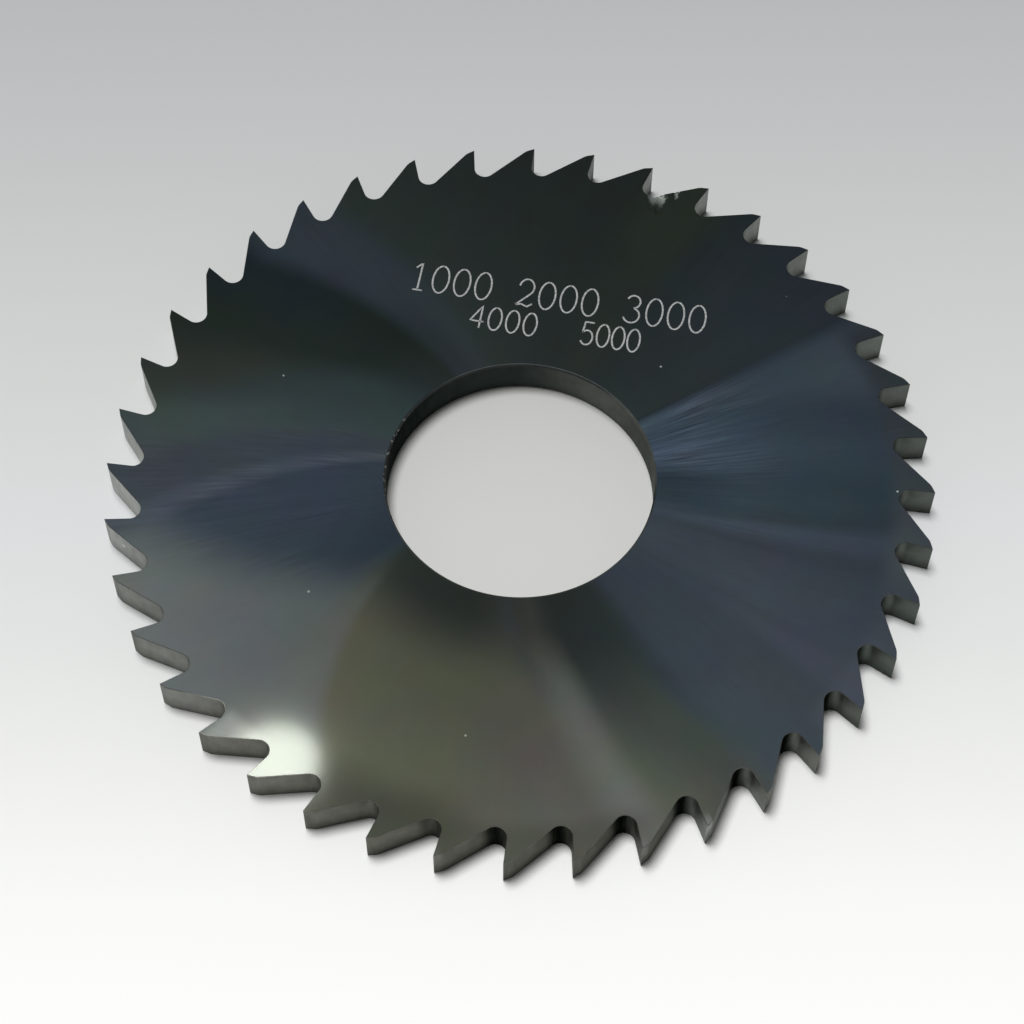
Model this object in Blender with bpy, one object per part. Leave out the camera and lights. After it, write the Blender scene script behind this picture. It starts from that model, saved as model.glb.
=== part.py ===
# Solid slitting saw blade: a flat ground disc with a plain arbor bore and a full
# ring of sharp teeth, all one piece. It lies on its back face, marked face up.
# Metres, +Z up. The origin is the bore's centre on the resting face, and the tip
# of the first tooth lies on +Y. Seen from above, the teeth cut clockwise.

import math

import bmesh
import bpy
from mathutils import Matrix, Vector

MM = 0.001

# Disc
BLADE_DIAMETER = 40.0 * MM
BLADE_THICKNESS = 2.0 * MM
BORE_DIAMETER = 13.0 * MM
BORE_EDGE_BREAK = 0.1 * MM

# Teeth
TOOTH_COUNT = 40
TOOTH_DEPTH = 1.75 * MM
GULLET_RADIUS = 0.52 * MM
RAKE_ANGLE = math.radians(5.0)
LAND_WIDTH = 0.45 * MM
LAND_RELIEF = math.radians(22.0)

# Facets of the round stretches
GULLET_FACETS = 9
BORE_FACETS_PER_TOOTH = 4
SMOOTH_BELOW = math.radians(30.0)

# Ground hard metal
BLADE_COLOUR = (0.075, 0.082, 0.088, 1.0)
BLADE_METALLIC = 1.0
BLADE_ROUGHNESS = 0.38

TIP_RADIUS = BLADE_DIAMETER / 2
ROOT_RADIUS = TIP_RADIUS - TOOTH_DEPTH
BORE_RADIUS = BORE_DIAMETER / 2
PITCH = 2 * math.pi / TOOTH_COUNT
WELD = 1e-7


def direction(angle):
    return Vector((math.cos(angle), math.sin(angle)))


def turned(point, angle):
    return Matrix.Rotation(angle, 2) @ point


def land_end():
    """Where the narrow land behind the tip of the tooth on +Y gives way to its back."""
    return Vector((0, TIP_RADIUS)) - LAND_WIDTH * direction(LAND_RELIEF)


def gullet_centre():
    """Centre of the circle that touches the cutting face and the root circle.

    It lies on the line one gullet radius in front of the cutting face, where that
    line meets the circle one gullet radius outside the root circle.
    """
    down_face = -direction(math.pi / 2 - RAKE_ANGLE)
    start = Vector((0, TIP_RADIUS)) + GULLET_RADIUS * direction(-RAKE_ANGLE)
    half = start.dot(down_face)
    reach = ROOT_RADIUS + GULLET_RADIUS
    return start - down_face * (half + math.sqrt(half ** 2 - start.length_squared + reach ** 2))


def gullet_arc():
    """Points round the gullet, from the foot of the cutting face to the foot of the
    next tooth's back, which leaves the circle as its tangent through the land's end."""
    centre = gullet_centre()
    to_land = turned(land_end(), -PITCH) - centre
    face_foot = math.pi - RAKE_ANGLE
    back_foot = math.atan2(to_land.y, to_land.x) - math.acos(GULLET_RADIUS / to_land.length)
    sweep = (back_foot - face_foot) % (2 * math.pi)
    return [centre + GULLET_RADIUS * direction(face_foot + sweep * step / GULLET_FACETS)
            for step in range(GULLET_FACETS + 1)]


def ring_arc(radius):
    """Points clockwise along one pitch of a circle, starting under the land's end."""
    start = math.atan2(land_end().y, land_end().x)
    return [radius * direction(start - PITCH * step / BORE_FACETS_PER_TOOTH)
            for step in range(BORE_FACETS_PER_TOOTH + 1)]


def add_pitch(mesh):
    """Faces of one pitch in the plane z = 0: a tooth with its gullet, on a strip of plate."""
    outline = [land_end(), Vector((0, TIP_RADIUS)), *gullet_arc(), turned(land_end(), -PITCH)]
    rim = [mesh.verts.new((*point, 0)) for point in outline]
    web = [mesh.verts.new((*point, 0)) for point in ring_arc(ROOT_RADIUS - GULLET_RADIUS)]
    hub = [mesh.verts.new((*point, 0)) for point in ring_arc(BORE_RADIUS)]
    mesh.faces.new([*rim, *reversed(web)])
    for step in range(BORE_FACETS_PER_TOOTH):
        mesh.faces.new([web[step], web[step + 1], hub[step + 1], hub[step]])


def repeat_pitch(mesh):
    """Copies the one pitch round the whole disc and welds the seams."""
    bmesh.ops.spin(mesh, geom=mesh.faces[:], cent=(0, 0, 0), axis=(0, 0, 1),
                   angle=PITCH * (TOOTH_COUNT - 1), steps=TOOTH_COUNT - 1, use_duplicate=True)
    bmesh.ops.remove_doubles(mesh, verts=mesh.verts, dist=WELD)


def thicken(mesh):
    """Raises the flat disc to the blade's thickness."""
    raised = bmesh.ops.extrude_face_region(mesh, geom=mesh.faces[:])["geom"]
    top = [item for item in raised if isinstance(item, bmesh.types.BMVert)]
    bmesh.ops.translate(mesh, verts=top, vec=(0, 0, BLADE_THICKNESS))
    bmesh.ops.recalc_face_normals(mesh, faces=mesh.faces)


def break_bore_edges(mesh):
    """Takes the sharp edge off both mouths of the bore."""
    def on_bore(vert):
        return abs(vert.co.to_2d().length - BORE_RADIUS) < WELD

    mouths = [edge for edge in mesh.edges
              if all(on_bore(vert) for vert in edge.verts)
              and abs(edge.verts[0].co.z - edge.verts[1].co.z) < WELD]
    bmesh.ops.bevel(mesh, geom=mouths, offset=BORE_EDGE_BREAK, segments=1, affect="EDGES")


def ground_metal():
    material = bpy.data.materials.new("ground_hard_metal")
    material.use_nodes = True
    shader = material.node_tree.nodes["Principled BSDF"]
    shader.inputs["Base Color"].default_value = BLADE_COLOUR
    shader.inputs["Metallic"].default_value = BLADE_METALLIC
    shader.inputs["Roughness"].default_value = BLADE_ROUGHNESS
    return material


def saw_blade():
    mesh = bmesh.new()
    add_pitch(mesh)
    repeat_pitch(mesh)
    thicken(mesh)
    break_bore_edges(mesh)
    data = bpy.data.meshes.new("saw_blade")
    mesh.to_mesh(data)
    mesh.free()
    data.materials.append(ground_metal())
    data.shade_smooth()
    data.set_sharp_from_angle(angle=SMOOTH_BELOW)
    blade = bpy.data.objects.new("saw_blade", data)
    bpy.context.scene.collection.objects.link(blade)


for old in list(bpy.data.objects):
    bpy.data.objects.remove(old, do_unlink=True)
saw_blade()
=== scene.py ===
import math

import bpy
import numpy as np
from mathutils import Matrix, Vector


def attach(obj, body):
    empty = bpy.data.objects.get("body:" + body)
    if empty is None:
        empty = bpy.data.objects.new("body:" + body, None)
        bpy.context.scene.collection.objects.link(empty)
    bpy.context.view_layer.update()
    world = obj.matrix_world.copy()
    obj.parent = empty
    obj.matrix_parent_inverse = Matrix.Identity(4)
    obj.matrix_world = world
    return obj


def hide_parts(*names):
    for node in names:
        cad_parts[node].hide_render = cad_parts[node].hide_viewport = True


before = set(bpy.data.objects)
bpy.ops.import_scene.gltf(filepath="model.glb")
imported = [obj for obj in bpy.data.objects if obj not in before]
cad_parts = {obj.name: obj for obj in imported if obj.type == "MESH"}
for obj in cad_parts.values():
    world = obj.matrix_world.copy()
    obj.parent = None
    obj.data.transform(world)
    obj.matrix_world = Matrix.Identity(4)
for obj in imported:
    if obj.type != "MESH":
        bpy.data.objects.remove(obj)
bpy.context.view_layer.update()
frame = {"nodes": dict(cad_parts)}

mm = 0.001
scene = bpy.context.scene
scene.view_settings.view_transform = "Standard"
print("frame loaded:", ", ".join(frame["nodes"]))


def tint(red, green, blue):
    # A colour as read on screen, 0 to 255, turned into Blender's linear values
    shares = np.array([red, green, blue]) / 255
    linear = np.where(shares <= 0.04045, shares / 12.92, ((shares + 0.055) / 1.055) ** 2.4)
    return (*linear.tolist(), 1.0)


# Node helpers: every material and group below is wired with these

def feed(tree, socket, value):
    # Links a socket, or sets a plain number or colour on it
    if isinstance(value, bpy.types.NodeSocket):
        tree.links.new(value, socket)
    else:
        socket.default_value = value


def calc(tree, operation, *values):
    # One Math node; the values are sockets or plain numbers
    node = tree.nodes.new("ShaderNodeMath")
    node.operation = operation
    for socket, value in zip(node.inputs, values):
        feed(tree, socket, value)
    return node.outputs[0]


def remap(tree, value, low, high, newLow=0.0, newHigh=1.0, curve="LINEAR"):
    # low to high becomes newLow to newHigh, and stays at its ends beyond them
    node = tree.nodes.new("ShaderNodeMapRange")
    node.interpolation_type = curve
    for socket, number in zip(node.inputs, (value, low, high, newLow, newHigh)):
        feed(tree, socket, number)
    return node.outputs[0]


def mixColour(tree, share, low, high, kind="MIX"):
    # low at share 0, high (or low times high, for MULTIPLY) at share 1
    node = tree.nodes.new("ShaderNodeMix")
    node.data_type, node.blend_type = "RGBA", kind
    feed(tree, node.inputs[0], share)
    feed(tree, node.inputs[6], low)
    feed(tree, node.inputs[7], high)
    return node.outputs[2]


def noise(tree, where, scale, detail=2.0, roughness=0.5, dimensions="3D", output="Fac"):
    # Noise about 0.5, mostly between 0.3 and 0.7
    node = tree.nodes.new("ShaderNodeTexNoise")
    node.noise_dimensions = dimensions
    feed(tree, node.inputs["W" if dimensions == "1D" else "Vector"], where)
    feed(tree, node.inputs["Scale"], scale)
    node.inputs["Detail"].default_value = detail
    node.inputs["Roughness"].default_value = roughness
    return node.outputs[output]


def calcVector(tree, operation, *values):
    # One Vector Math node: a distance comes out as a number, the rest as a vector
    node = tree.nodes.new("ShaderNodeVectorMath")
    node.operation = operation
    for socket, value in zip(node.inputs, values):
        feed(tree, socket, value)
    return node.outputs["Value" if operation == "DISTANCE" else "Vector"]


def newGroup(name, inputs, outputs):
    # An empty group with named sockets; gives back its tree and both ends
    tree = bpy.data.node_groups.new(name, "ShaderNodeTree")
    for title, kind, value in inputs:
        socket = tree.interface.new_socket(title, in_out="INPUT", socket_type="NodeSocket" + kind)
        socket.default_value = value
    for title, kind in outputs:
        tree.interface.new_socket(title, in_out="OUTPUT", socket_type="NodeSocket" + kind)
    start = tree.nodes.new("NodeGroupInput").outputs
    end = tree.nodes.new("NodeGroupOutput").inputs
    return tree, start, end


def place(tree, group, **values):
    # Puts a group into a tree; spaces in socket names are written as _
    node = tree.nodes.new("ShaderNodeGroup")
    node.node_tree = group
    for title, value in values.items():
        feed(tree, node.inputs[title.replace("_", " ")], value)
    return node.outputs


def makePolarPlace():
    # Clock angle from +Y in radians, atan2(x, y), with radius and height in mm
    tree, start, end = newGroup(
        "polarPlace", [], [("Clock", "Float"), ("Radius", "Float"), ("Height", "Float")]
    )
    split = tree.nodes.new("ShaderNodeSeparateXYZ")
    feed(tree, split.inputs[0], tree.nodes.new("ShaderNodeTexCoord").outputs["Object"])
    x, y, height = (calc(tree, "DIVIDE", socket, mm) for socket in split.outputs)
    square = calc(tree, "MULTIPLY_ADD", x, x, calc(tree, "MULTIPLY", y, y))
    feed(tree, end["Clock"], calc(tree, "ARCTAN2", x, y))
    feed(tree, end["Radius"], calc(tree, "SQRT", square))
    feed(tree, end["Height"], height)
    return tree


def makeFan():
    # 1 between two clock angles; each side has its own softness and leans with the radius.
    # The strength eases from Inner at Start Radius to Outer at End Radius.
    tree, start, end = newGroup(
        "clockFan",
        [(title, "Float", 0.0) for title in (
            "Clock", "Radius", "From", "To", "From Lean", "To Lean", "From Soft", "To Soft",
            "Start Radius", "End Radius", "Inner", "Outer",
        )],
        [("Mask", "Float")],
    )
    along = remap(tree, start["Radius"], blade["boreRadius"], blade["rootRadius"], -0.5, 0.5)
    middle = calc(tree, "MULTIPLY", calc(tree, "ADD", start["From"], start["To"]), 0.5)
    half = calc(tree, "SUBTRACT", start["To"], middle)
    away = calc(tree, "SUBTRACT", start["Clock"], calc(tree, "RADIANS", middle))
    away = calc(tree, "DEGREES", calc(tree, "WRAP", away, math.pi, -math.pi))
    mask = remap(tree, start["Radius"], start["Start Radius"], start["End Radius"],
                 start["Inner"], start["Outer"], "SMOOTHSTEP")
    for side, sign in (("From", 1.0), ("To", -1.0)):
        lean = calc(tree, "MULTIPLY", start[side + " Lean"], along)
        inside = calc(tree, "MULTIPLY_ADD", lean, -sign, half)
        inside = calc(tree, "MULTIPLY_ADD", away, sign, inside)
        reach = calc(tree, "DIVIDE", inside, start[side + " Soft"])
        mask = calc(tree, "MULTIPLY", mask, remap(tree, reach, -0.5, 0.5, curve="SMOOTHSTEP"))
    feed(tree, end["Mask"], mask)
    return tree


def makeStreaks():
    # Fine lines that run out from the bore and curl a little: noise over (sin, cos, radius)
    # of a clock angle that turns with the radius, so that it has no seam
    tree, start, end = newGroup(
        "grindStreaks",
        [("Clock", "Float", 0.0), ("Radius", "Float", 10.0), ("Fineness", "Float", 30.0),
         ("Length", "Float", 6.0), ("Curl", "Float", 0.0)],
        [("Value", "Float")],
    )
    turn = remap(tree, start["Radius"], blade["boreRadius"], blade["rootRadius"], 0.0, start["Curl"])
    angle = calc(tree, "ADD", start["Clock"], calc(tree, "RADIANS", turn))
    merge = tree.nodes.new("ShaderNodeCombineXYZ")
    for socket, wave in zip(merge.inputs, ("SINE", "COSINE")):
        feed(tree, socket, calc(tree, "MULTIPLY", calc(tree, wave, angle), start["Fineness"]))
    feed(tree, merge.inputs[2], calc(tree, "DIVIDE", start["Radius"], start["Length"]))
    feed(tree, end["Value"], noise(tree, merge.outputs[0], 1.0, detail=4.0, roughness=0.6))
    return tree


def makeTipWear():
    # Worn metal with a painted glint, in soft patches: Wear over Full At, up to 1, times a noise from 0.3
    # to 1
    tree, start, end = newGroup(
        "tipWearAndGlint",
        [("Wear", "Float", 0.0), ("Full At", "Float", 0.45), ("Patch Scale", "Float", 2500.0)],
        [("Mask", "Float")],
    )
    here = tree.nodes.new("ShaderNodeTexCoord").outputs["Object"]
    patches = remap(tree, noise(tree, here, start["Patch Scale"]), 0.25, 0.6, 0.3, 1.0)
    wornAndGlint = remap(tree, start["Wear"], 0.0, start["Full At"])
    feed(tree, end["Mask"], calc(tree, "MULTIPLY", wornAndGlint, patches))
    return tree


def makeSpeck():
    # A small bright mark: Strength inside a ball of radius Size about Centre, both in metres
    tree, start, end = newGroup(
        "brightSpeck",
        [("Centre", "Vector", (0, 0, 0)), ("Size", "Float", 0.0), ("Strength", "Float", 1.0)],
        [("Mask", "Float")],
    )
    here = tree.nodes.new("ShaderNodeTexCoord").outputs["Object"]
    inside = calc(tree, "LESS_THAN", calcVector(tree, "DISTANCE", here, start["Centre"]), start["Size"])
    feed(tree, end["Mask"], calc(tree, "MULTIPLY", inside, start["Strength"]))
    return tree


def makeWallGrain():
    # Fine grain drawn out upright, and a shade about 1 from the grain and broad blotches
    tree, start, end = newGroup(
        "wallGrain",
        [("Fine", "Float", 9000.0), ("Broad", "Float", 1500.0), ("Spread", "Float", 0.14)],
        [("Grain", "Float"), ("Shade", "Float")],
    )
    here = tree.nodes.new("ShaderNodeTexCoord").outputs["Object"]
    drawnOut = calcVector(tree, "MULTIPLY", here, (1, 1, 0.08))
    grain = noise(tree, drawnOut, start["Fine"], detail=3.0)
    blotch = noise(tree, here, start["Broad"])
    darkest = calc(tree, "SUBTRACT", 1.0, start["Spread"])
    palest = calc(tree, "ADD", 1.0, start["Spread"])
    feed(tree, end["Grain"], grain)
    feed(tree, end["Shade"], remap(tree, calc(tree, "ADD", grain, blotch), 0.7, 1.3, darkest, palest))
    return tree


def newMaterial(name):
    # A new material with its node tree and its shader's sockets
    material = bpy.data.materials.new(name)
    material.use_nodes = True
    tree = material.node_tree
    return material, tree, tree.nodes["Principled BSDF"].inputs


# Blade: sizes repeat the CAD's, with the edge breaks that the ground metal has
blade = {
    "tipRadius": 20.0,
    "rootRadius": 18.25,
    "boreRadius": 6.5,
    "thickness": 2.0,
    "boreBreak": 0.1,
    "edgeBreak": 0.025,
    "teeth": 40,
    "gulletRadius": 0.52,
    "rake": 5.0,
    "landWidth": 0.45,
    "landRelief": 22.0,
    "cornerTrim": 0.13,
    # worn metal and a painted glint at these tips; the reach and the share lost downwards are of both
    "wornAndGlint": {17: 0.7, 18: 0.25, 21: 0.14},  # by tooth, clockwise from +Y
    "wearReach": 0.55,
    "wearDown": 0.8,  # share of the wear lost from the face to the underside
    "deepFrom": 0.8,  # share of the tooth depth past which a wall counts as gullet
    # the mesh: columns in each stretch of a tooth, the clock angles at which those stretches
    # meet the web, and the rows over the face, the teeth, the walls and the underside
    "steps": {"land": 4, "rake": 8, "arc": 18, "back": 14, "corner": 4},
    "webRadius": 17.2,
    "webStops": (-1.9, -1.4, -0.5, 2.2, 6.8),
    "faceRings": (9.0, 12.0, 15.0, 16.5, 17.1),
    "toothRows": 11,
    "toothCurve": 1.4,
    "wallRows": (0.92, 0.8, 0.6, 0.3),
    "underRows": (0.6, 0.0),
    "underRing": 12.0,
}
finishNames = ["groundFace", "toothWall", "boreWall", "brokenEdge", "boreEdge"]

polarPlace, clockFan, grindStreaks = makePolarPlace(), makeFan(), makeStreaks()
tipWearAndGlint, brightSpeck, wallGrain = makeTipWear(), makeSpeck(), makeWallGrain()


def heading(degrees):
    # Unit vector, anticlockwise from +X
    return np.stack([np.cos(np.radians(degrees)), np.sin(np.radians(degrees))], -1)


def turned(points, degrees):
    # Points turned clockwise about the axis
    c, s = np.cos(np.radians(degrees)), np.sin(np.radians(degrees))
    x, y = points[..., 0], points[..., 1]
    return np.stack([x * c + y * s, y * c - x * s], -1)


def eased(count):
    # Shares from 0 up to, not with, 1, closer together at both ends
    return (1 - np.cos(np.pi * np.arange(count) / count)) / 2


def onePitch(sizes, finer=1):
    # Land, rake face, gullet arc and straight back of the tooth whose tip is at +Y, clockwise,
    # and for each point the clock angle at which the web meets it
    tip = np.array([0.0, sizes["tipRadius"]])
    landEnd = tip - sizes["landWidth"] * heading(sizes["landRelief"])
    radius, rake = sizes["gulletRadius"], sizes["rake"]
    start = tip + radius * heading(-rake)
    down = -heading(90 - rake)
    half = start @ down
    reach = sizes["rootRadius"] + radius
    centre = start - down * (half + math.sqrt(half ** 2 - start @ start + reach ** 2))
    pitch = 360 / sizes["teeth"]
    nextEnd = turned(landEnd, pitch)
    toward = nextEnd - centre
    faceFoot = 180 - rake
    lift = math.acos(radius / np.linalg.norm(toward))
    backFoot = math.degrees(math.atan2(toward[1], toward[0]) - lift)
    sweep = (backFoot - faceFoot) % 360
    steps = {name: count * finer for name, count in sizes["steps"].items()}
    rakeFoot = centre + radius * heading(faceFoot)
    arcEnd = centre + radius * heading(faceFoot + sweep)

    def straight(first, last, count):
        return first + (last - first) * eased(count)[:, None]

    # the corner between back and land is a quarter-turn of a parabola between two trimmed ends
    trim = sizes["cornerTrim"]
    landStart = landEnd + (tip - landEnd) * trim / sizes["landWidth"]
    backEnd = nextEnd + (arcEnd - nextEnd) * trim / np.linalg.norm(arcEnd - nextEnd)
    bend, turn = (np.arange(steps[name]) / steps[name] for name in ("corner", "arc"))
    share = bend[:, None]
    nextStart = turned(landStart, pitch)
    corner = (1 - share) ** 2 * backEnd + 2 * share * (1 - share) * nextEnd + share ** 2 * nextStart
    outline = np.concatenate([
        straight(landStart, tip, steps["land"]),
        straight(tip, rakeFoot, steps["rake"]),
        centre + radius * heading(faceFoot + sweep * turn),
        straight(arcEnd, backEnd, steps["back"]),
        corner,
    ])
    # the same stretches on the web, from each stop to the next and one pitch round
    shares = [eased(steps["land"]), eased(steps["rake"]), turn, eased(steps["back"]), bend]
    stops = [*sizes["webStops"], sizes["webStops"][0] + pitch]
    webClock = [first + (last - first) * s for first, last, s in zip(stops, stops[1:], shares)]
    return outline, np.concatenate(webClock)


def inset(outline, width):
    # Each point moved into the metal along the mitre of its two neighbours
    before = outline - np.roll(outline, 1, axis=0)
    after = np.roll(outline, -1, axis=0) - outline
    before /= np.linalg.norm(before, axis=1)[:, None]
    after /= np.linalg.norm(after, axis=1)[:, None]
    normals = [np.stack([side[:, 1], -side[:, 0]], -1) for side in (before, after)]
    mitre = normals[0] + normals[1]
    mitre /= np.maximum((mitre * normals[0]).sum(1), 0.25)[:, None]
    return outline + mitre * width


def putMesh(name, points, quads, kinds, materials):
    # A mesh from whole arrays: points in mm, four corners per face, a material for each
    mesh = bpy.data.meshes.new(name)
    mesh.vertices.add(len(points))
    mesh.vertices.foreach_set("co", (points * mm).astype(np.float32).ravel())
    mesh.loops.add(quads.size)
    mesh.loops.foreach_set("vertex_index", quads.astype(np.int32).ravel())
    mesh.polygons.add(len(quads))
    mesh.polygons.foreach_set("loop_start", np.arange(0, quads.size, quads.shape[1], dtype=np.int32))
    for material in materials:
        mesh.materials.append(material)
    mesh.polygons.foreach_set("material_index", kinds.astype(np.int32))
    mesh.update(calc_edges=True)
    mesh.validate()
    piece = bpy.data.objects.new(name, mesh)
    scene.collection.objects.link(piece)
    return piece


# Broken spots on the upper face beside one tooth's gullet: each an ellipse with a ragged rim
chip = {
    "tooth": 2,
    "finer": 3,  # how many times more columns that tooth has
    "depth": 0.13,
    "lobes": [dict(count=3, swing=0.14, shift=0.6), dict(count=7, swing=0.10, shift=2.0)],
    "rim": 1.15,
    "steepness": 2.2,
    "spots": [
        dict(centre=(6.20, 17.02), reach=(0.25, 0.48)),
        dict(centre=(6.55, 16.92), reach=(0.27, 0.52)),
        dict(centre=(7.40, 17.32), reach=(0.09, 0.24)),
    ],
    "near": (0.058, 0.068, 0.062),
    "atGullet": (0.245, 0.268, 0.252),
    "paler": (17.7, 18.5),  # radii from the one colour to the other
    "speckleScale": 6000.0,
    "torn": (0.75, 0.95),  # depth share plus noise, from whole finish to torn metal
    "roughness": 0.3,  # added to the face's
}


def chipDepth(points):
    # Deepest of the spots: flat in the middle, then rising to a rim that waves round the spot,
    # 1 plus a sine for each set of lobes
    depth = np.zeros(len(points))
    for spot in chip["spots"]:
        x, y = ((points[:, :2] - spot["centre"]) / spot["reach"]).T
        angle = np.arctan2(y, x)
        waves = [lobe["swing"] * np.sin(lobe["count"] * angle + lobe["shift"]) for lobe in chip["lobes"]]
        inside = np.clip(chip["rim"] - np.hypot(x, y) / (1 + sum(waves)), 0, 1)
        depth = np.maximum(depth, chip["depth"] * np.minimum(inside * chip["steepness"], 1))
    return depth


def makeBlade(materials):
    # A ring section carried round the axis: column by column along the toothed outline,
    # row by row up the bore, out over the upper face, down the wall and back underneath
    outlines, clocks, gullets, tips = [], [], [], []
    tipRadius, rootRadius, deepFrom = blade["tipRadius"], blade["rootRadius"], blade["deepFrom"]
    for tooth in range(blade["teeth"]):
        outline, webClock = onePitch(blade, chip["finer"] if tooth == chip["tooth"] else 1)
        turn = 360 / blade["teeth"] * tooth
        depth = (tipRadius - np.hypot(*outline.T)) / (tipRadius - rootRadius)
        toTip = np.hypot(*(outline - (0, tipRadius)).T)
        outlines.append(turned(outline, turn))
        clocks.append(webClock + turn)
        gullets.append(np.clip((depth - deepFrom) / (1 - deepFrom), 0, 1))
        tips.append(blade["wornAndGlint"].get(tooth, 0.0) * np.clip(1 - toTip / blade["wearReach"], 0, 1))
    outline, clock = np.concatenate(outlines), np.concatenate(clocks)
    gullet, tip = np.concatenate(gullets), np.concatenate(tips)
    inner = inset(outline, blade["edgeBreak"])
    outward = turned(np.array([[0.0, 1.0]]), clock)
    top, boreRadius = blade["thickness"], blade["boreRadius"]
    cut, lip = blade["boreBreak"], blade["edgeBreak"]
    web = outward * blade["webRadius"]
    boreLip, faceStart = outward * (boreRadius + cut), outward * (boreRadius + 1.5 * cut)
    rows, kinds = [], []

    def row(flat, height, finish):
        # finish is that of the band from this row to the next one
        rows.append(np.concatenate([flat, np.full((len(flat), 1), height)], 1))
        kinds.append(finishNames.index(finish))

    row(outward * boreRadius, cut, "boreWall")
    row(outward * boreRadius, top / 2, "boreWall")
    row(outward * boreRadius, top - cut, "boreEdge")
    row(boreLip, top, "groundFace")
    row(faceStart, top, "groundFace")
    for radius in blade["faceRings"]:
        row(outward * radius, top, "groundFace")
    left = 1 - np.arange(blade["toothRows"]) / blade["toothRows"]
    for share in 1 - left ** blade["toothCurve"]:
        row(web + (inner - web) * share, top, "groundFace")
    row(inner, top, "brokenEdge")
    wallRow = len(rows)
    row(outline, top - lip, "toothWall")
    for share in blade["wallRows"]:
        row(outline, top * share, "toothWall")
    row(outline, lip, "brokenEdge")
    row(inner, 0.0, "groundFace")
    for share in blade["underRows"]:
        row(web + (inner - web) * share, 0.0, "groundFace")
    row(outward * blade["underRing"], 0.0, "groundFace")
    row(faceStart, 0.0, "groundFace")
    row(boreLip, 0.0, "boreEdge")
    grid = np.stack(rows)
    rowCount, columnCount = grid.shape[:2]
    points = grid.reshape(-1, 3)
    damage = chipDepth(points)
    points[:, 2] -= damage * np.clip(points[:, 2] / top * 2 - 1, 0, 1)

    j, i = np.meshgrid(np.arange(rowCount), np.arange(columnCount), indexing="ij")
    nextRow, nextColumn = (j + 1) % rowCount, (i + 1) % columnCount
    corners = [(j, i), (j, nextColumn), (nextRow, nextColumn), (nextRow, i)]
    quads = np.stack([down * columnCount + along for down, along in corners], -1).reshape(-1, 4)
    piece = putMesh("sawBlade", points, quads, np.repeat(kinds, columnCount), materials)
    piece.data.polygons.foreach_set("use_smooth", np.ones(len(quads), bool))
    piece.data.set_sharp_from_angle(angle=math.radians(30))
    aside = np.linalg.norm((grid - grid[wallRow])[..., :2], axis=2)
    near = np.clip(1 - (1 - grid[..., 2] / top) * blade["wearDown"], 0, 1)
    near *= np.clip(1 - aside / blade["wearReach"], 0, 1)
    layers = {
        "chip": damage / chip["depth"],
        "gullet": np.tile(gullet, rowCount),
        "wearAndGlint": (tip * near).ravel(),
    }
    for name, values in layers.items():
        layer = piece.data.attributes.new(name, "FLOAT", "POINT")
        layer.data.foreach_set("value", values.astype(np.float32))
    return piece
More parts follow.
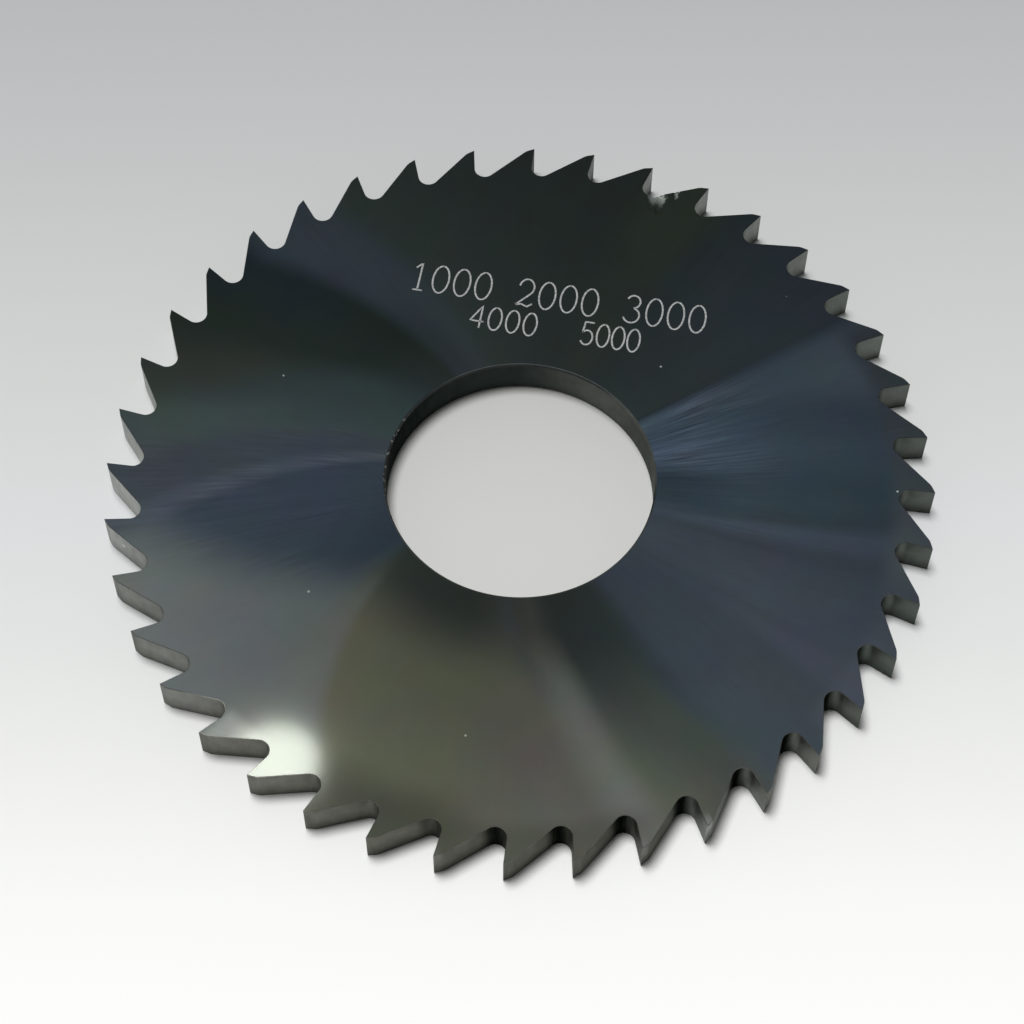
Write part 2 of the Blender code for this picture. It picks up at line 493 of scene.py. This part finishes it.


# Finish of the face: dark coated metal, its reflections and shade painted in as fans round the clock.
# Angles are degrees clockwise from +Y at mid radius, lean is how far a side turns from bore to teeth,
# fade is the strength at the two radii of reach. Colours are linear; a fan is laid over those before it.
face = {
    "ground": (0.0245, 0.033, 0.0315),
    "roughness": 0.36,
    "grain": 0.015,
    "brushed": 0.4,
    # painted sheen: the face's colour brighter along one line through the axis
    "sheen": dict(level=1.143, swing=0.067, axis=10.0),
    "fineStreaks": dict(Fineness=110.0, Length=3.5, Curl=2.0),
    "broadStreaks": dict(Fineness=30.0, Length=6.0, Curl=-4.0),
    "patches": dict(scale=420.0, weakest=1.5, strongest=11.0),  # how far the streaks show
    "relief": dict(linesPerMm=24.0, streaks=4.0, pits=30.0, pitScale=5000.0, depth=0.0006),
    # colour of worn metal with a painted glint at the tips
    "wornAndGlint": (0.080, 0.082, 0.082),
    "coat": 0.4,
    "coatRoughness": 0.054,
    "film": [dict(scale=130.0, strength=0.14), dict(scale=420.0, strength=0.26)],
    "specks": [
        dict(centre=(6.72, 6.70, 2), size=0.055, strength=0.9),
        dict(centre=(18.18, -0.01, 2), size=0.05, strength=0.8),
        dict(centre=(-1.97, -13.81, 2), size=0.055, strength=0.3),
        dict(centre=(-11.88, 5.38, 2), size=0.05, strength=0.3),
        dict(centre=(-9.70, -6.66, 2), size=0.06, strength=0.25),
        dict(centre=(12.99, 11.19, 2), size=0.05, strength=0.2),
    ],
    # painted reflections and painted shade of the face, fan by fan
    "fans": {
        "dusk": dict(span=(32, 58), soft=(22, 15), lean=(0, 4),
                     fade=(0.22, 0.94), reach=(7.6, 15), colour=(0.032, 0.043, 0.054)),
        "greenTop": dict(span=(17.5, 29.5), soft=(12, 8), lean=(1, 3),
                         fade=(0.26, 0.73), reach=(11.3, 16.8), colour=(0.035, 0.048, 0.034)),
        "blueRight": dict(span=(58.5, 148.5), soft=(3, 5), lean=(2, -1),
                          fade=(1.00, 0.74), reach=(7.8, 18.5), colour=(0.015, 0.020, 0.026), grain=0.03),
        "tealRight": dict(span=(58.5, 97.5), soft=(5, 8), lean=(-2, -3),
                          fade=(0.80, 0.90), reach=(6.5, 14.2), colour=(0.027, 0.042, 0.055), grain=0.05),
        "brushedRight": dict(span=(59, 86), soft=(3, 13), lean=(0, 3),
                             fade=(0.93, 0.35), reach=(8.2, 14.4), colour=(0.041, 0.058, 0.083), grain=0.2),
        "paleTwo": dict(span=(59, 67.5), soft=(4, 9), lean=(0, 10),
                        fade=(0.51, 0.80), reach=(13.3, 18.6), colour=(0.061, 0.083, 0.107)),
        "darkThree": dict(span=(85, 98), soft=(11, 3), lean=(4, -2),
                          fade=(1.00, 0.42), reach=(6.9, 11.1), colour=(0.014, 0.022, 0.029)),
        "paleThree": dict(span=(99.5, 104), soft=(3, 5), lean=(-4, -2),
                          fade=(0.46, 1.00), reach=(6.9, 12.6), colour=(0.026, 0.036, 0.049), grain=0.08),
        "mauveRight": dict(span=(105, 121), soft=(8, 8), lean=(-4, 0),
                           fade=(0.49, 0.88), reach=(7.7, 14.3), colour=(0.021, 0.027, 0.036), grain=0.03),
        "paleFour": dict(span=(122, 125), soft=(3, 4), lean=(-3, 2),
                         fade=(0.18, 0.68), reach=(9, 17), colour=(0.024, 0.027, 0.037)),
        "brownFive": dict(span=(149, 160.5), soft=(5, 12), lean=(-13, -9),
                          fade=(0.39, 0.68), reach=(8.9, 14.2), colour=(0.026, 0.028, 0.023)),
        "inkFoot": dict(span=(145, 228), soft=(9, 8), lean=(-2, -14),
                        fade=(1.00, 0.36), reach=(9.2, 14.9), colour=(0.010, 0.013, 0.013)),
        "oliveFoot": dict(span=(168, 225.5), soft=(23, 9), lean=(-26, -17),
                          fade=(0.10, 0.97), reach=(7.4, 11.5), colour=(0.040, 0.042, 0.030), grain=0.01),
        "brownFoot": dict(span=(168.5, 187), soft=(7, 18), lean=(-8, -5),
                          fade=(0.27, 0.92), reach=(9.6, 15.1), colour=(0.036, 0.036, 0.033)),
        "paleStreak": dict(span=(163.5, 171), soft=(6, 7), lean=(-10, -14),
                           fade=(0.07, 0.87), reach=(7.9, 13.1), colour=(0.048, 0.052, 0.049)),
        "paleBend": dict(span=(167.5, 172), soft=(5, 8), lean=(-32, -28),
                         fade=(0.41, 0.00), reach=(8.7, 13.7), colour=(0.020, 0.027, 0.032)),
        "darkRim": dict(span=(187.5, 211), soft=(10, 5), lean=(-2, 0),
                        fade=(0.01, 0.93), reach=(16.1, 18.3), colour=(0.023, 0.024, 0.018)),
        "blueLeft": dict(span=(229, 278), soft=(8, 12), lean=(-10, -21),
                         fade=(0.98, 0.96), reach=(7.7, 18.2), colour=(0.012, 0.017, 0.024), grain=0.07),
        "greyLeft": dict(span=(220, 241.5), soft=(4, 20), lean=(-23, 35),
                         fade=(0.35, 0.80), reach=(7.6, 12.1), colour=(0.045, 0.050, 0.049), grain=0.01),
        "mauveLeft": dict(span=(270.5, 282), soft=(4, 11), lean=(-19, -15),
                          fade=(0.77, 1.00), reach=(9.1, 17), colour=(0.016, 0.020, 0.025), grain=0.06),
        "wispLeft": dict(span=(267.5, 271.5), soft=(3, 4), lean=(-18, -18),
                         fade=(0.90, 0.74), reach=(7.3, 14.4), colour=(0.022, 0.027, 0.035), grain=0.12),
        "blackLeft": dict(span=(291, 327.5), soft=(10, 11), lean=(-15, -22),
                          fade=(0.74, 0.97), reach=(6.6, 10.2), colour=(0.0085, 0.0125, 0.0105)),
        "brownLeft": dict(span=(289, 299.5), soft=(10, 10), lean=(-17, -13),
                          fade=(0.45, 0.93), reach=(9.6, 14.4), colour=(0.014, 0.017, 0.015)),
        "tealLeft": dict(span=(281, 298), soft=(7, 11), lean=(-14, -34),
                         fade=(1.00, 0.48), reach=(8.6, 16.4), colour=(0.014, 0.022, 0.023)),
        "navyLeft": dict(span=(307.5, 319.5), soft=(11, 6), lean=(-6, -9),
                         fade=(0.11, 0.64), reach=(11.2, 16.5), colour=(0.009, 0.015, 0.021)),
        "blueStreak": dict(span=(321.5, 335.5), soft=(6, 6), lean=(-17, -16),
                           fade=(0.37, 0.75), reach=(7.5, 15.5), colour=(0.030, 0.039, 0.054), grain=0.03),
        "smoothRim": dict(span=(30, 150), soft=(5, 5), fade=(0.00, 1.00), reach=(10, 15), grain=0.02),
        # painted highlight: the glare's pale tail along the tooth tops
        "glareTail": dict(span=(218, 224.5), soft=(3, 2),
                      fade=(0.00, 1.00), reach=(17.8, 18.6), colour=(0.085, 0.090, 0.084)),
        "darkTeeth": dict(span=(160, 206), soft=(10, 8),
                          fade=(0.00, 0.60), reach=(17.6, 18.8), colour=(0.022, 0.023, 0.018)),
        "paleTeeth": dict(span=(60, 106), soft=(6, 14),
                          fade=(0.00, 0.90), reach=(17.4, 18.7), colour=(0.037, 0.046, 0.053)),
        "dimTeeth": dict(span=(112, 131), soft=(8, 6),
                         fade=(0.00, 0.60), reach=(17.8, 18.8), colour=(0.028, 0.033, 0.040)),
    },
}

# Finish of the tooth walls: painted highlights and shade by clock, and painted shade near black down in the
# gullets
wall = {
    "ground": (0.222, 0.222, 0.202),
    # painted shade low down near the floor: full at the first height, gone at the second
    "low": dict(strength=0.5, heights=(0.1, 1.4), colour=(0.030, 0.030, 0.024),
                fans=[dict(span=(0, 40), soft=(10, 20)), dict(span=(62, 134), soft=(50, 16)),
                      dict(span=(180, 262), soft=(20, 20), fade=(0.42, 0.42))]),
    # painted shade: near black deep in the gullets
    "gullet": (0.014, 0.017, 0.014),
    "gulletFan": dict(span=(112, 190), soft=(40, 24)),
    # colour of worn metal with a painted glint at the tips
    "wornAndGlint": (0.50, 0.51, 0.50),
    "roughness": 0.42,
    "specks": [dict(centre=(-18.82, -4.07, 1.1), size=0.10, strength=1.0)],
    "fans": {
        "leftMid": dict(span=(228, 304), soft=(14, 20), colour=(0.32, 0.325, 0.305)),
        "leftBacks": dict(span=(256, 304), soft=(20, 20), colour=(0.66, 0.68, 0.65)),
        "rightFaces": dict(span=(8, 48), soft=(14, 18), colour=(0.37, 0.39, 0.37)),
        "rightTop": dict(span=(8, 28), soft=(8, 10), colour=(0.52, 0.54, 0.52)),
        "rightMid": dict(span=(48, 70), soft=(18, 16), colour=(0.222, 0.242, 0.225)),
        "rightLow": dict(span=(70, 134), soft=(16, 24), colour=(0.152, 0.169, 0.156)),
        "rightFoot": dict(span=(130, 157), soft=(22, 6), colour=(0.27, 0.28, 0.26)),
        "foot": dict(span=(157, 208), soft=(6, 16), colour=(0.180, 0.180, 0.160)),
    },
}

# Finish of the bore's wall, with painted reflections and shade: paler on the right
bore = {
    "ground": (0.040, 0.048, 0.046),
    "roughness": 0.42,
    "fans": {"rightWall": dict(span=(18, 106), soft=(50, 20), colour=(0.150, 0.160, 0.150))},
}

# Finish of the bore's broken edge, with small nicks on one side, and a painted highlight along the rim and
# to the right and below
boreEdge = {
    "ground": (0.09, 0.10, 0.095),
    "roughness": 0.35,
    "nicks": dict(span=(260, 300), soft=(12, 12)),
    "nickScale": 5000.0,
    "fans": {
        "rim": dict(span=(-34, 44), soft=(24, 24),
                    fade=(0.0, 1.0), reach=(6.56, 6.59), colour=(0.28, 0.33, 0.325)),
        "right": dict(span=(40, 92), soft=(12, 12), colour=(0.22, 0.24, 0.22)),
        "lower": dict(span=(100, 258), soft=(12, 12), colour=(0.16, 0.17, 0.16)),
    },
}

# Finish of the broken edge along the teeth: painted highlights and shade by clock, brightest where the
# glare falls
edge = {
    "ground": (0.12, 0.125, 0.115),
    "roughness": 0.35,
    "fans": {
        "right": dict(span=(98, 140), soft=(30, 10), colour=(0.20, 0.21, 0.20)),
        "foot": dict(span=(140, 222), soft=(10, 16), colour=(0.28, 0.28, 0.26)),
        "low": dict(span=(232, 258), soft=(8, 12), colour=(0.20, 0.205, 0.20)),
        "left": dict(span=(262, 312), soft=(12, 12), colour=(0.11, 0.115, 0.11)),
        "glare": dict(span=(208, 230), soft=(8, 6), colour=(0.90, 0.93, 0.82)),
    },
}

bareMetal = (0.50, 0.51, 0.50)
freshMetal = (0.88, 0.90, 0.89)
sideTint = (0.3, 0.3, 0.3, 1.0)  # how much a dark wall still brightens at a grazing look


def solid(colour):
    # The colour with full alpha
    return (*colour, 1.0)


def placeFan(tree, polar, fan):
    # One fan group set from a fan's dictionary; gives back its mask
    sides = {}
    for name, default in (("span", (0, 0)), ("lean", (0, 0)), ("soft", (5, 5))):
        for side, value in zip(("From", "To"), fan.get(name, default)):
            sides[side + ("" if name == "span" else "_" + name.title())] = float(value)
    inner, outer = fan.get("fade", (1.0, 1.0))
    start, end = fan.get("reach", (7, 17))
    return place(tree, clockFan, Clock=polar["Clock"], Radius=polar["Radius"], Start_Radius=float(start),
                 End_Radius=float(end), Inner=inner, Outer=outer, **sides)["Mask"]


def paintFans(tree, polar, style):
    # The ground colour with each fan of painted highlights and shade laid over it, and how strong the grain
    # is there
    colour, grain = solid(style["ground"]), style.get("grain", 0.05)
    for fan in style["fans"].values():
        mask = placeFan(tree, polar, fan)
        if "colour" in fan:
            colour = mixColour(tree, mask, colour, solid(fan["colour"]))
        if "grain" in fan:
            grain = calc(tree, "MULTIPLY_ADD", mask, calc(tree, "SUBTRACT", fan["grain"], grain), grain)
    return colour, grain


def readAttribute(tree, name):
    # A value that the mesh carries at each of its points
    node = tree.nodes.new("ShaderNodeAttribute")
    node.attribute_name = name
    return node.outputs["Fac"]


def scaleColour(tree, colour, factor):
    # The colour times a value that changes over the surface
    merge = tree.nodes.new("ShaderNodeCombineColor")
    for socket in merge.inputs:
        feed(tree, socket, factor)
    return mixColour(tree, 1.0, colour, merge.outputs[0], "MULTIPLY")


def markSpecks(tree, specks):
    # The brightest of the specks at each place
    bright = 0.0
    for speck in specks:
        centre = tuple(v * mm for v in speck["centre"])
        spot = place(tree, brightSpeck, Centre=centre, Size=speck["size"] * mm, Strength=speck["strength"])
        bright = calc(tree, "MAXIMUM", bright, spot["Mask"])
    return bright


def markWearAndGlint(tree):
    # Worn tips with a painted glint, strongest at the tip
    return place(tree, tipWearAndGlint, Wear=readAttribute(tree, "wearAndGlint"))["Mask"]


def bump(tree, shader, height, depth):
    # depth in mm for a height of 1
    node = tree.nodes.new("ShaderNodeBump")
    feed(tree, node.inputs["Height"], height)
    node.inputs["Distance"].default_value = depth * mm
    feed(tree, shader["Normal"], node.outputs[0])


def makeFaceMaterial():
    # The fans' colour of painted reflections and shade, times 1 + streaks x patches, times two films and
    # the painted sheen, then worn tips with a painted glint, specks and the chip laid over it; fine lines,
    # streaks and pits as its relief
    material, tree, shader = newMaterial("groundFace")
    polar = place(tree, polarPlace)
    colour, grain = paintFans(tree, polar, face)
    clock, radius = polar["Clock"], polar["Radius"]
    fine = place(tree, grindStreaks, Clock=clock, Radius=radius, **face["fineStreaks"])["Value"]
    broad = place(tree, grindStreaks, Clock=clock, Radius=radius, **face["broadStreaks"])["Value"]
    streaks = calc(tree, "SUBTRACT", calc(tree, "MULTIPLY_ADD", broad, 0.5, fine), 0.75)
    here = tree.nodes.new("ShaderNodeTexCoord").outputs["Object"]
    patches = face["patches"]
    patchy = noise(tree, here, patches["scale"], detail=3.0)
    patchy = remap(tree, patchy, 0.35, 0.65, patches["weakest"], patches["strongest"])
    patchy = calc(tree, "MULTIPLY", grain, patchy)
    colour = scaleColour(tree, colour, calc(tree, "MULTIPLY_ADD", streaks, patchy, 1.0))
    for film in face["film"]:
        cloud = noise(tree, here, film["scale"], detail=3.0, roughness=0.6, output="Color")
        spread, middle = (film["strength"],) * 3, (1 - film["strength"] / 2,) * 3
        cloud = calcVector(tree, "MULTIPLY_ADD", cloud, spread, middle)
        colour = mixColour(tree, 1.0, colour, cloud, "MULTIPLY")
    # painted sheen: the colour is brighter along one line through the axis, darker across it
    sheen = face["sheen"]  # brighter along one line through the axis, darker across it
    turn = calc(tree, "MULTIPLY_ADD", clock, 2.0, -2 * math.radians(sheen["axis"]))
    turn = calc(tree, "COSINE", turn)
    colour = scaleColour(tree, colour, calc(tree, "MULTIPLY_ADD", turn, sheen["swing"], sheen["level"]))
    colour = mixColour(tree, markWearAndGlint(tree), colour, solid(face["wornAndGlint"]))
    colour = mixColour(tree, markSpecks(tree, face["specks"]), colour, solid(bareMetal))
    speckled = noise(tree, here, chip["speckleScale"])
    broken = remap(tree, calc(tree, "ADD", readAttribute(tree, "chip"), speckled), *chip["torn"])
    towardGullet = remap(tree, radius, *chip["paler"], curve="SMOOTHSTEP")
    torn = mixColour(tree, towardGullet, solid(chip["near"]), solid(chip["atGullet"]))
    feed(tree, shader["Base Color"], mixColour(tree, broken, colour, torn))
    shader["Metallic"].default_value = 1.0
    polish = calc(tree, "MULTIPLY_ADD", calc(tree, "SUBTRACT", fine, 0.5), grain, face["roughness"])
    feed(tree, shader["Roughness"], calc(tree, "MULTIPLY_ADD", broken, chip["roughness"], polish))
    shader["Anisotropic"].default_value = face["brushed"]
    tangent = tree.nodes.new("ShaderNodeTangent")
    tangent.direction_type, tangent.axis = "RADIAL", "Z"
    feed(tree, shader["Tangent"], tangent.outputs[0])
    feed(tree, shader["Coat Weight"], remap(tree, broken, 0.0, 1.0, face["coat"], 0.0))
    shader["Coat Roughness"].default_value = face["coatRoughness"]
    relief = face["relief"]
    lines = noise(tree, calc(tree, "MULTIPLY", radius, relief["linesPerMm"]), 1.0, dimensions="1D")
    pits = calc(tree, "MULTIPLY", broken, noise(tree, here, relief["pitScale"], detail=4.0))
    height = calc(tree, "MULTIPLY_ADD", calc(tree, "MULTIPLY", fine, grain), relief["streaks"], lines)
    bump(tree, shader, calc(tree, "MULTIPLY_ADD", pits, relief["pits"], height), relief["depth"])
    return material


def makeSideMaterial(name, style, gullets=False):
    # The fans' colour, painted highlights and shade, times an upright grain; gullets adds what only the
    # tooth walls have:
    # painted shade low down and deep in the gullets, and worn tips with a painted glint
    material, tree, shader = newMaterial(name)
    polar = place(tree, polarPlace)
    colour, _ = paintFans(tree, polar, style)
    grain, shade = place(tree, wallGrain)
    if gullets:
        # painted shade low down near the floor and deep in the gullets
        low = style["low"]
        lowDown = remap(tree, polar["Height"], *low["heights"], low["strength"], 0.0, "SMOOTHSTEP")
        for fan in low["fans"]:
            share = calc(tree, "MULTIPLY", lowDown, placeFan(tree, polar, fan))
            colour = mixColour(tree, share, colour, solid(low["colour"]))
        colour = mixColour(tree, markWearAndGlint(tree), colour, solid(style["wornAndGlint"]))
        deep = placeFan(tree, polar, style["gulletFan"])
        deep = calc(tree, "MULTIPLY", deep, readAttribute(tree, "gullet"))
        colour = mixColour(tree, deep, colour, solid(style["gullet"]))
    colour = scaleColour(tree, colour, shade)
    if "nicks" in style:
        here = tree.nodes.new("ShaderNodeTexCoord").outputs["Object"]
        chipped = remap(tree, noise(tree, here, style["nickScale"], detail=1.0), 0.58, 0.62)
        chipped = calc(tree, "MULTIPLY", chipped, placeFan(tree, polar, style["nicks"]))
        colour = mixColour(tree, chipped, colour, solid(bareMetal))
    if "specks" in style:
        colour = mixColour(tree, markSpecks(tree, style["specks"]), colour, solid(freshMetal))
    feed(tree, shader["Base Color"], colour)
    shader["Metallic"].default_value = 1.0
    rough = style["roughness"]
    feed(tree, shader["Roughness"], remap(tree, grain, 0.3, 0.7, rough - 0.05, rough + 0.05))
    shader["Specular Tint"].default_value = sideTint
    bump(tree, shader, grain, 0.002)
    return material


sawBlade = makeBlade([
    makeFaceMaterial(),
    makeSideMaterial("toothWall", wall, gullets=True),
    makeSideMaterial("boreWall", bore),
    makeSideMaterial("brokenEdge", edge),
    makeSideMaterial("boreEdge", boreEdge),
])
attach(sawBlade, "root")
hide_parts("saw_blade")
print("blade made:", len(sawBlade.data.polygons), "faces")


# Marking: plain numbers in two rows above the bore, drawn with one thin line each
marking = {
    "rows": [
        dict(text="1000 2000 3000", first=(-5.50, 11.64), pitch=1.09, height=1.66, width=0.92),
        dict(text="4000", first=(-2.47, 9.32), pitch=0.89, height=1.36, width=0.74),
        dict(text="5000", first=(3.06, 8.52), pitch=0.77, height=1.36, width=0.70),
    ],
    "slope": -8.2,
    "halfLine": 0.056,  # half the line's width at its foot
    "taper": 0.7,  # its width on top, as a share of that
    "proud": 0.006,  # how far it stands out of the face, and how far it is sunk into it
    "dark": (0.20, 0.205, 0.205),
    "pale": (0.48, 0.49, 0.49),
    "grainScale": 12000.0,
    "roughness": (0.55, 0.75),
}


def arc(centre, radii, start, end, count=18):
    # Part of an ellipse from one angle to another
    angle = np.radians(np.linspace(start, end, count))
    return np.stack([centre[0] + radii[0] * np.cos(angle), centre[1] + radii[1] * np.sin(angle)], -1)


def path(*points):
    # Straight lines through the points, with close points so that a ribbon turns cleanly
    ends = np.array(points, float)
    pieces = [a + (b - a) * np.linspace(0, 1, 5)[:-1, None] for a, b in zip(ends[:-1], ends[1:])]
    return np.concatenate(pieces + [ends[-1:]])


# Each digit in a box one wide and one high
digits = {
    "0": [arc((0.5, 0.5), (0.44, 0.5), 90, 450, 30)],
    "1": [path((0.22, 0.8), (0.52, 1.0), (0.52, 0.0)), path((0.25, 0.0), (0.8, 0.0))],
    "2": [np.concatenate([arc((0.5, 0.7), (0.4, 0.3), 175, -25), path((0.8, 0.5), (0.06, 0.02))]),
          path((0.06, 0.02), (0.35, 0.07), (0.7, 0.0), (0.95, 0.12))],
    "3": [np.concatenate([arc((0.48, 0.77), (0.36, 0.23), 160, -80),
                          arc((0.46, 0.27), (0.44, 0.27), 75, -160)])],
    "4": [path((0.72, 0.0), (0.72, 1.0), (0.04, 0.3), (0.98, 0.3))],
    "5": [np.concatenate([path((0.86, 1.0), (0.2, 1.0), (0.13, 0.52)),
                          arc((0.45, 0.32), (0.43, 0.32), 140, -150)])],
}


def ribbon(line):
    # A low trapezium carried along the line: four corners at each point, offset along its normal
    along = np.gradient(line, axis=0)
    along /= np.linalg.norm(along, axis=1)[:, None]
    across = np.stack([-along[:, 1], along[:, 0]], -1)
    half, taper = marking["halfLine"], marking["taper"]
    foot, crest = blade["thickness"] - marking["proud"], blade["thickness"] + marking["proud"]
    corners = [(1.0, foot), (-1.0, foot), (-taper, crest), (taper, crest)]
    rings = [
        np.concatenate([line + across * half * side, np.full((len(line), 1), height)], 1)
        for side, height in corners
    ]
    points = np.stack(rings, 1).reshape(-1, 3)
    n, k = np.meshgrid(np.arange(len(line) - 1) * 4, np.arange(4), indexing="ij")
    after = (k + 1) % 4
    sides = np.stack([n + k, n + after, n + 4 + after, n + 4 + k], -1).reshape(-1, 4)
    last = 4 * (len(line) - 1)
    caps = np.array([[3, 2, 1, 0], [last, last + 1, last + 2, last + 3]])
    return points, np.concatenate([sides, caps])


def makeMarking():
    # Each digit's strokes, scaled to its row's letter size and set along the slope
    material, tree, shader = newMaterial("etchedLine")
    here = tree.nodes.new("ShaderNodeTexCoord").outputs["Object"]
    grain = noise(tree, here, marking["grainScale"])
    pale = remap(tree, grain, 0.35, 0.65)
    feed(tree, shader["Base Color"], mixColour(tree, pale, solid(marking["dark"]), solid(marking["pale"])))
    feed(tree, shader["Roughness"], remap(tree, grain, 0.3, 0.7, *marking["roughness"]))
    shader["Metallic"].default_value = 0.2
    points, quads, count = [], [], 0
    reading = heading(marking["slope"])
    upright = heading(marking["slope"] + 90)
    for row in marking["rows"]:
        for index, letter in enumerate(row["text"]):
            for stroke in digits.get(letter, []):
                corner = np.array(row["first"]) + reading * row["pitch"] * index
                local = (stroke - 0.5) * (row["width"], row["height"])
                found, faces = ribbon(corner + local[:, :1] * reading + local[:, 1:] * upright)
                points.append(found)
                quads.append(faces + count)
                count += len(found)
    points, quads = np.concatenate(points), np.concatenate(quads)
    return putMesh("plainNumbers", points, quads, np.zeros(len(quads)), [material])


plainNumbers = makeMarking()
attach(plainNumbers, "root")
print("marking made:", len(plainNumbers.data.polygons), "faces")


# Studio: lamp directions have no unit, away, size, high and halfFloor are metres, start is
# millimetres like the rest, and strengths are radiance
studio = {
    "worldLow": 0.24,
    "worldHigh": 0.08,
    "worldTurn": (0.5, 0.85),  # heights of look between which low becomes high
    "worldSeen": 0.86,
    "halfFloor": 3.0,
    "floorHeight": -0.005,
    "floorPlain": 0.6,  # the floor's grey for light that it scatters onto the blade
    "floorLean": -0.05,  # how far the bands of tone below lean, as a slope
    "floorReach": (-26.7, 31.8),  # from the first tone, nearest the camera, to the last
    "floorTones": [
        (0.0, (255, 255, 253)), (0.1, (251, 252, 249)), (0.21, (240, 241, 239)),
        (0.32, (228, 230, 229)), (0.44, (220, 222, 223)), (0.57, (211, 213, 212)),
        (0.7, (203, 205, 204)), (0.85, (193, 195, 196)), (1.0, (184, 186, 187)),
    ],
    "underBore": (0.875, 0.862, 0.838),
    "underBoreReach": (6.6, 7.6),
    "lamps": {
        "key": dict(toward=(-0.13, 0.11, 0.98), away=1.6, size=0.54, strength=30.0),
        "glare": dict(toward=(-0.1027, 0.4144, 0.9043), start=(-9.5, -15.8, 2), away=0.6, size=0.0245,
                      high=0.0205, strength=54.0, colour=(0.94, 1.0, 0.86)),
    },
}


def floorShade(tree):
    # The tones by y plus lean times x, times the shade under the bore
    here = tree.nodes.new("ShaderNodeTexCoord").outputs["Object"]
    split = tree.nodes.new("ShaderNodeSeparateXYZ")
    feed(tree, split.inputs[0], here)
    x, y, _ = split.outputs
    slope = calc(tree, "MULTIPLY_ADD", x, studio["floorLean"], y)
    ramp = tree.nodes.new("ShaderNodeValToRGB")
    feed(tree, ramp.inputs[0], remap(tree, slope, *(v * mm for v in studio["floorReach"])))
    for _ in range(len(studio["floorTones"]) - 2):
        ramp.color_ramp.elements.new(0.5)
    for element, (position, tone) in zip(ramp.color_ramp.elements, studio["floorTones"]):
        element.position, element.color = position, tint(*tone)
    square = calc(tree, "MULTIPLY_ADD", x, x, calc(tree, "MULTIPLY", y, y))
    inner, outer = (v * mm for v in studio["underBoreReach"])
    inBore = remap(tree, calc(tree, "SQRT", square), inner, outer, 1.0, 0.0)
    return mixColour(tree, inBore, ramp.outputs[0], solid(studio["underBore"]), "MULTIPLY")


def makeFloor():
    # A square that shows its tones to the camera and in reflections, and is plain otherwise
    side = studio["halfFloor"] / mm
    flat = [(-side, -side), (side, -side), (side, side), (-side, side)]
    points = np.array([(x, y, studio["floorHeight"]) for x, y in flat])
    material, tree, _ = newMaterial("paleFloor")
    tree.nodes.remove(tree.nodes["Principled BSDF"])
    rays = tree.nodes.new("ShaderNodeLightPath").outputs
    seen = calc(tree, "MAXIMUM", rays["Is Camera Ray"], rays["Is Glossy Ray"])
    seen = calc(tree, "MAXIMUM", seen, rays["Is Transmission Ray"])
    plain = solid((studio["floorPlain"],) * 3)
    diffuse = tree.nodes.new("ShaderNodeBsdfDiffuse")
    feed(tree, diffuse.inputs[0], mixColour(tree, seen, plain, floorShade(tree)))
    feed(tree, tree.nodes["Material Output"].inputs[0], diffuse.outputs[0])
    floor = putMesh("floor", points, np.array([[0, 1, 2, 3]]), np.zeros(1), [material])


def makeWorld():
    # Even light that turns weaker overhead, and one plain tone where the camera sees it
    world = bpy.data.worlds.new("studio")
    world.use_nodes = True
    scene.world = world
    tree = world.node_tree
    split = tree.nodes.new("ShaderNodeSeparateXYZ")
    feed(tree, split.inputs[0], tree.nodes.new("ShaderNodeTexCoord").outputs["Generated"])
    low, high = studio["worldLow"], studio["worldHigh"]
    light = remap(tree, split.outputs[2], *studio["worldTurn"], low, high, "SMOOTHSTEP")
    rays = tree.nodes.new("ShaderNodeLightPath").outputs
    seen = calc(tree, "MAXIMUM", rays["Is Camera Ray"], rays["Is Transmission Ray"])
    level = remap(tree, seen, 0.0, 1.0, light, studio["worldSeen"])
    feed(tree, tree.nodes["Background"].inputs["Strength"], level)
    tree.nodes["Background"].inputs["Color"].default_value = (1, 1, 1, 1)


def makeLamp(name, kind):
    # A round or oval area lamp of the given radiance, facing the blade
    light = bpy.data.lights.new(name, "AREA")
    high = kind.get("high", kind["size"])
    light.shape, light.size, light.size_y = "ELLIPSE", kind["size"], high
    light.energy = kind["strength"] * math.pi ** 2 * kind["size"] * high / 4
    light.color = kind.get("colour", (1, 1, 1))
    lamp = bpy.data.objects.new(name, light)
    toward = Vector(kind["toward"]).normalized()
    lamp.location = Vector(kind.get("start", (0, 0, 0))) * mm + toward * kind["away"]
    lamp.rotation_euler = toward.to_track_quat("Z", "Y").to_euler()
    scene.collection.objects.link(lamp)


makeFloor()
makeWorld()
for lampName, kind in studio["lamps"].items():
    makeLamp(lampName, kind)
print("studio made")


# Camera: the photo's own place, worked out from the outline of the blade in it
photo = {
    "place": (1.57191, -65.22814, 110.57079),
    "aim": (-0.34782, -0.76716, 0.0),
    "roll": 0.614,
    "lens": 92.3195,
    "sensor": 36.0,
    "clip": (0.005, 20.0),  # metres
}
lens = bpy.data.cameras.new("photoView")
lens.lens, lens.sensor_width = photo["lens"], photo["sensor"]
lens.clip_start, lens.clip_end = photo["clip"]
camera = bpy.data.objects.new("photoView", lens)
scene.collection.objects.link(camera)
back = (Vector(photo["place"]) - Vector(photo["aim"])).normalized()
facing = back.to_track_quat("Z", "Y").to_matrix() @ Matrix.Rotation(math.radians(photo["roll"]), 3, "Z")
camera.matrix_world = Matrix.Translation(Vector(photo["place"]) * mm) @ facing.to_4x4()
scene.camera = camera
print("camera right", [round(v, 5) for v in facing.col[0]], "up", [round(v, 5) for v in facing.col[1]])
